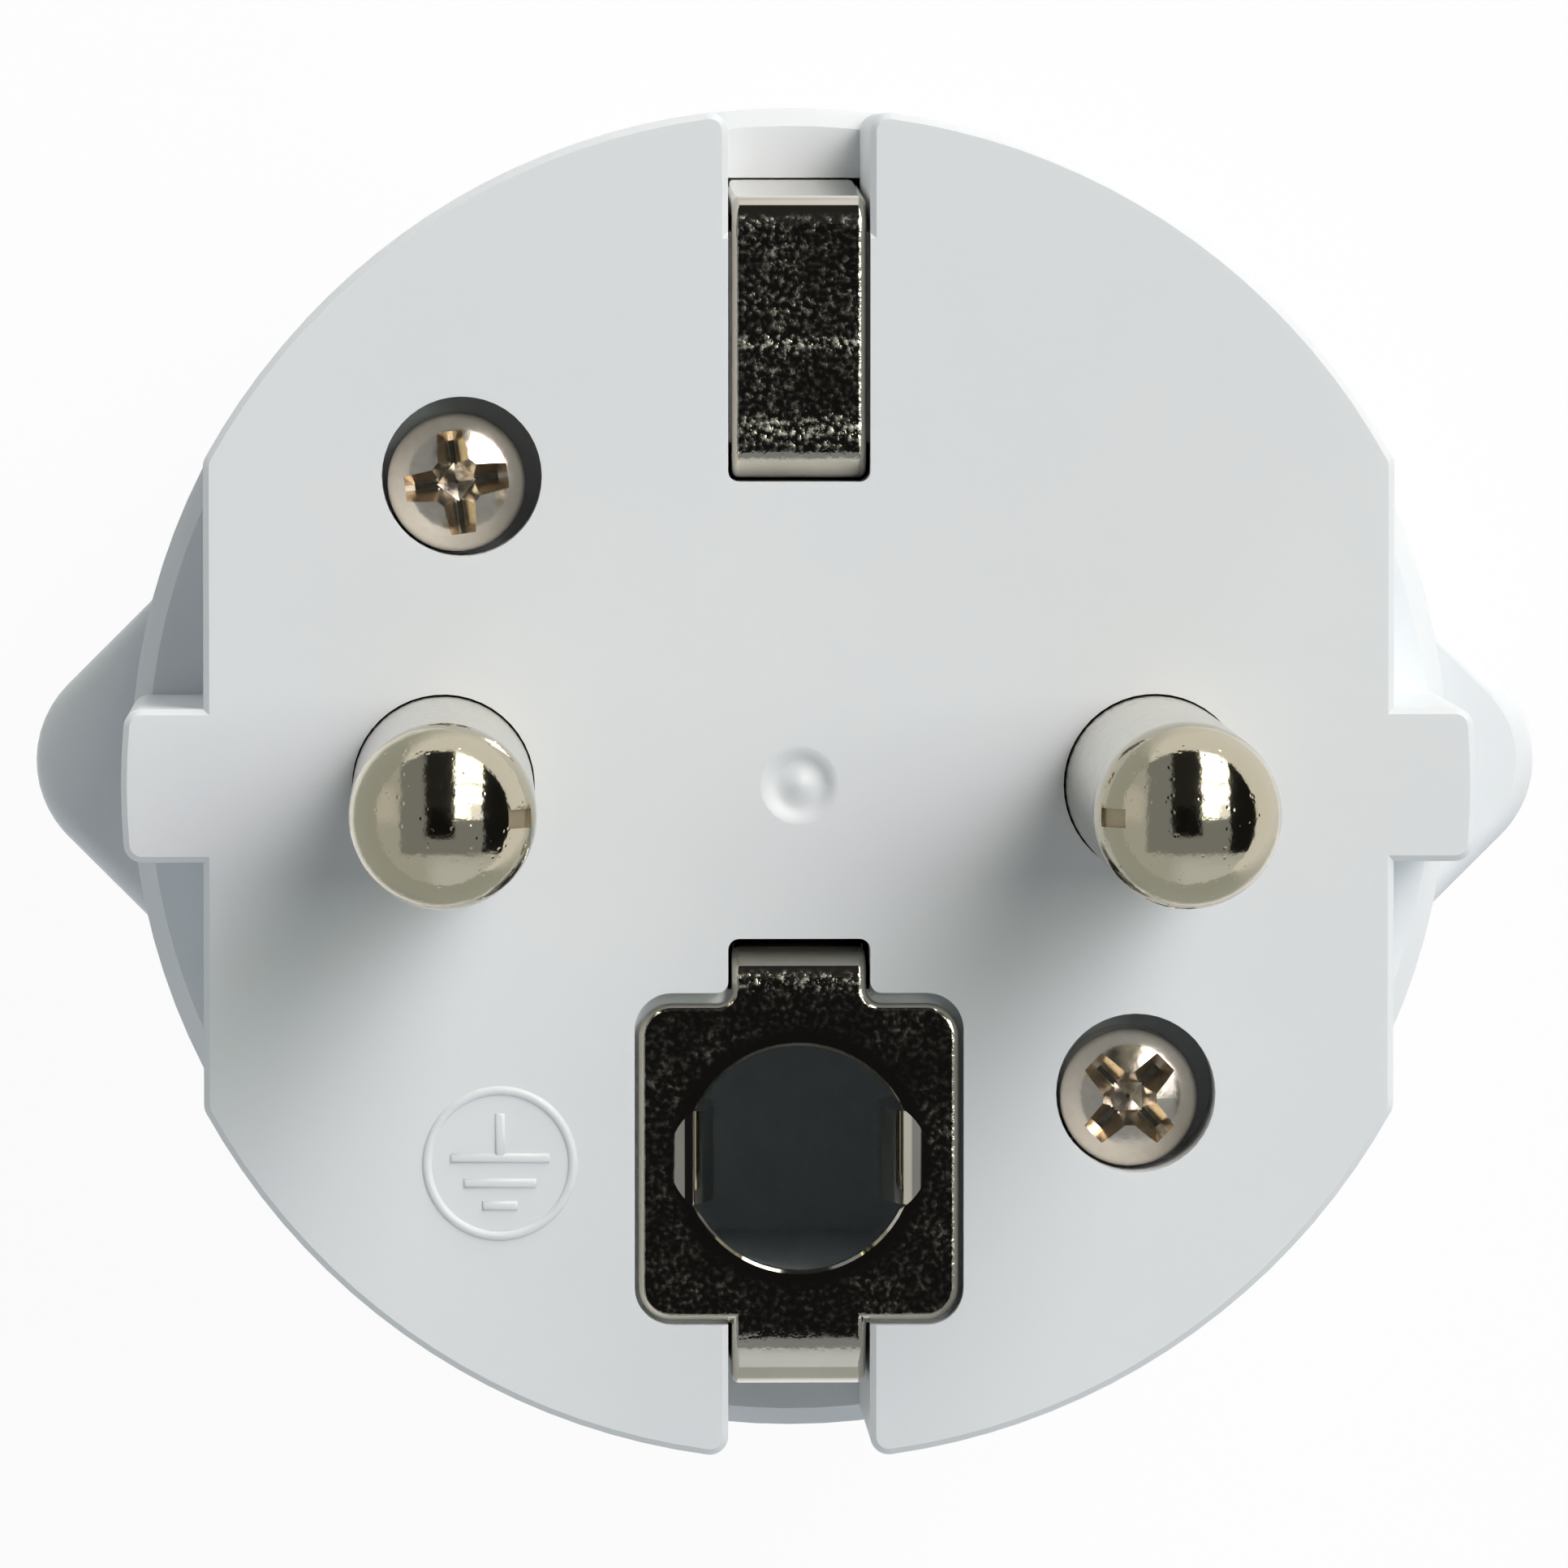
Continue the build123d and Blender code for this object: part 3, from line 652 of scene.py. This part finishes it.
def grainy_nickel():
    """Unpolished nickel plate on stamped sheet, with an open grain beside the bends."""
    material, output = new_material("grainy_nickel_plate")
    tree = material.node_tree
    place, in_mm = place_on_piece(tree)
    strap_axes = add_node(tree, "ShaderNodeSeparateXYZ", links={"Vector": in_mm.outputs[0]})
    wave = add_node(
        tree,
        "ShaderNodeTexNoise",
        {"Scale": 1 / STRAP_WAVE, "Detail": 2.0},
        {"Vector": in_mm.outputs[0]},
    )
    openness = add_node(
        tree,
        "ShaderNodeMapRange",
        {
            "From Min": WAVE_RANGE[0],
            "From Max": WAVE_RANGE[1],
            "To Min": WAVE_GRAIN[0],
            "To Max": WAVE_GRAIN[1],
        },
        {"Value": wave.outputs["Fac"]},
    )
    clip_part = add_node(
        tree,
        "ShaderNodeMapRange",
        {"From Min": -PLATE_TO_CLIP, "From Max": PLATE_TO_CLIP, "To Min": PLATE_GRAIN},
        {"Value": strap_axes.outputs["Y"]},
    )
    plain_grain = add_node(
        tree,
        "ShaderNodeMath",
        {"operation": "MULTIPLY"},
        {0: openness.outputs[0], 1: clip_part.outputs[0]},
    )
    strength = add_node(
        tree,
        "ShaderNodeMath",
        {"operation": "ADD", "use_clamp": True},
        {0: plain_grain.outputs[0], 1: stretched_grain(tree, strap_axes.outputs["Y"]).outputs[0]},
    )
    flat_strength = add_node(
        tree,
        "ShaderNodeMath",
        {"operation": "MULTIPLY"},
        {0: strength.outputs[0], 1: unpressed_part(tree, place).outputs[0]},
    )
    grain = add_node(
        tree,
        "ShaderNodeTexNoise",
        {"Scale": 1 / STRAP_GRAIN, "Detail": 2.0},
        {"Vector": in_mm.outputs[0]},
    )
    relief = add_node(
        tree,
        "ShaderNodeBump",
        {"Distance": STRAP_GRAIN_DEPTH * MM},
        {"Height": grain.outputs["Fac"], "Strength": flat_strength.outputs[0]},
    )
    tint = add_node(
        tree,
        "ShaderNodeMix",
        {"data_type": "RGBA", COLOUR_A: STRAP_TINTS[0], COLOUR_B: STRAP_TINTS[1]},
        {0: wave.outputs["Fac"]},
    )
    crest = add_node(
        tree,
        "ShaderNodeMapRange",
        {"From Min": CREST_RANGE[0], "From Max": CREST_RANGE[1], "To Max": CREST_ROUGHNESS},
        {"Value": grain.outputs["Fac"]},
    )
    gloss = add_node(
        tree,
        "ShaderNodeMath",
        {"operation": "MULTIPLY_ADD", 2: FLAT_ROUGHNESS},
        {0: crest.outputs[0], 1: flat_strength.outputs[0]},
    )
    shader = add_node(
        tree,
        "ShaderNodeBsdfPrincipled",
        {"Metallic": 1.0},
        {
            "Base Color": tint.outputs[COLOUR_OUT],
            "Roughness": gloss.outputs[0],
            "Normal": relief.outputs[0],
        },
    )
    tree.links.new(shader.outputs[0], output.inputs["Surface"])
    return material


strap_nickel = grainy_nickel()
print("made", strap_nickel.name)

# %% [markdown]
# ## Plain metals
# The screws are nickel-plated steel from a barrel, so they are smooth but not polished. Inside sit
# turned brass sleeves and split rings of spring steel. These three differ only in colour, gloss and
# grain, so one function makes them. The marks of tumbling, turning and rolling are bump with a
# grain of a fifth of a millimetre or less.

# %% Barrel-plated, turned and rolled metals
MARK_DEPTH = 0.01
MARK_STRENGTH = 0.4


def plain_metal(name, dark, light, grain_size, rough):
    """A metal that is one alloy all over: its two shades, its grain in mm and its roughness."""
    material, output = new_material(name)
    tree = material.node_tree
    _, in_mm = place_on_piece(tree)
    grain = add_node(
        tree,
        "ShaderNodeTexNoise",
        {"Scale": 1 / grain_size, "Detail": 3.0},
        {"Vector": in_mm.outputs[0]},
    )
    shade = add_node(
        tree,
        "ShaderNodeMix",
        {"data_type": "RGBA", COLOUR_A: linear(dark), COLOUR_B: linear(light)},
        {0: grain.outputs["Fac"]},
    )
    gloss = add_node(
        tree,
        "ShaderNodeMapRange",
        {"To Min": rough, "To Max": 2 * rough},
        {"Value": grain.outputs["Fac"]},
    )
    relief = add_node(
        tree,
        "ShaderNodeBump",
        {"Strength": MARK_STRENGTH, "Distance": MARK_DEPTH * MM},
        {"Height": grain.outputs["Fac"]},
    )
    shader = add_node(
        tree,
        "ShaderNodeBsdfPrincipled",
        {"Metallic": 1.0},
        {
            "Base Color": shade.outputs[COLOUR_OUT],
            "Roughness": gloss.outputs[0],
            "Normal": relief.outputs[0],
        },
    )
    tree.links.new(shader.outputs[0], output.inputs["Surface"])
    return material


screw_nickel = plain_metal("barrel_plated_nickel", "#D4CABC", "#E5DCCF", grain_size=0.2, rough=0.12)
contact_brass = plain_metal("turned_brass", "#B08D4C", "#C9A866", grain_size=0.15, rough=0.16)
ring_steel = plain_metal("rolled_spring_steel", "#8F9296", "#A9ABAE", grain_size=0.12, rough=0.2)
print("made", screw_nickel.name, contact_brass.name, ring_steel.name)

# %% [markdown]
# ## Finishes on the solids
# A node from the frame keeps its shape, which is right already, and only its material changes. The
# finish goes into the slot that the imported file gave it.

# %% Dress the solids
FINISHES = {
    "front_shell": white_abs,
    "rear_shell": white_abs,
    "line_pin": pin_nickel,
    "neutral_pin": pin_nickel,
    "earth_strap": strap_nickel,
    "cover_screws": screw_nickel,
    "line_sleeve": contact_brass,
    "neutral_sleeve": contact_brass,
    "earth_sleeve": contact_brass,
    "line_spring_ring": ring_steel,
    "neutral_spring_ring": ring_steel,
    "earth_spring_ring": ring_steel,
}
for name, finish in FINISHES.items():
    nodes[name].material_slots[0].material = finish
print("dressed", len(FINISHES), "solids")

# %% [markdown]
# ## Earth symbol
# The tool maker engraved the earth symbol into the mould, so on the part it stands up from the face
# as a thin rounded ridge: a ring, a stem and three bars. A bump map would show no edge from the
# side, so the ridge is a mesh. The ring is a small arch that is spun round its centre.

# %% Ring of the earth symbol
SYMBOL_CENTRE = Vector((-8.0, -10.1, 0)) * MM
RING_RADIUS = 1.95 * MM
RING_STEPS = 96
RIDGE_WIDTH = 0.24 * MM
RIDGE_HEIGHT = 0.09 * MM
ARCH_STEPS = 6

symbol_shape = bmesh.new()
arch = []
for step in range(ARCH_STEPS + 1):
    angle = math.pi * step / ARCH_STEPS
    across = RING_RADIUS + RIDGE_WIDTH / 2 * math.cos(angle)
    up = face_height + RIDGE_HEIGHT * math.sin(angle)
    arch.append(symbol_shape.verts.new(SYMBOL_CENTRE + Vector((across, 0, up))))
for start, end in zip(arch, arch[1:]):
    symbol_shape.edges.new((start, end))
bmesh.ops.spin(
    symbol_shape,
    geom=symbol_shape.verts[:] + symbol_shape.edges[:],
    cent=SYMBOL_CENTRE,
    axis=(0, 0, 1),
    angle=2 * math.pi,
    steps=RING_STEPS,
    use_merge=True,
)
print("ring", round(2 * RING_RADIUS / MM, 2), "mm across")

# %% [markdown]
# ## Stem and bars
# Each stroke is a block with rounded upper edges. It reaches a little into the face, as moulded
# relief does, so no gap can open under it.

# %% Stem and bars of the earth symbol
RIDGE_ROOT = 0.05 * MM
STROKE_ROUNDING = 0.8 * RIDGE_HEIGHT
STROKE_SEGMENTS = 4
# Each stroke: its middle above the ring's centre, then its size along X and along Y
STROKES = (
    (0.77 * MM, RIDGE_WIDTH, 1.15 * MM),
    (0.14 * MM, 2.64 * MM, RIDGE_WIDTH),
    (-0.53 * MM, 1.93 * MM, RIDGE_WIDTH),
    (-1.13 * MM, 0.93 * MM, RIDGE_WIDTH),
)

stroke_depth = RIDGE_HEIGHT + RIDGE_ROOT
for above, width, length in STROKES:
    middle = SYMBOL_CENTRE + Vector((0, above, face_height + RIDGE_HEIGHT - stroke_depth / 2))
    sizes = Matrix.Diagonal((width, length, stroke_depth, 1))
    block = bmesh.ops.create_cube(symbol_shape, size=1, matrix=Matrix.Translation(middle) @ sizes)
    crown = max(vertex.co.z for vertex in block["verts"])
    edges = {edge for vertex in block["verts"] for edge in vertex.link_edges}
    top_edges = [edge for edge in edges if all(v.co.z > crown - RIDGE_ROOT / 2 for v in edge.verts)]
    bmesh.ops.bevel(
        symbol_shape,
        geom=top_edges,
        offset=STROKE_ROUNDING,
        affect="EDGES",
        segments=STROKE_SEGMENTS,
        profile=0.5,
        material=-1,
    )
bmesh.ops.recalc_face_normals(symbol_shape, faces=symbol_shape.faces)
for face in symbol_shape.faces:
    face.smooth = True
print("strokes:", len(STROKES))

# %% Earth symbol on the face
symbol_mesh = bpy.data.meshes.new("earth_symbol")
symbol_shape.to_mesh(symbol_mesh)
symbol_shape.free()
symbol_mesh.materials.append(white_abs)
earth_symbol = bpy.data.objects.new("earth_symbol", symbol_mesh)
bpy.context.scene.collection.objects.link(earth_symbol)
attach(earth_symbol, "root")
print("earth symbol has", len(symbol_mesh.polygons), "faces")
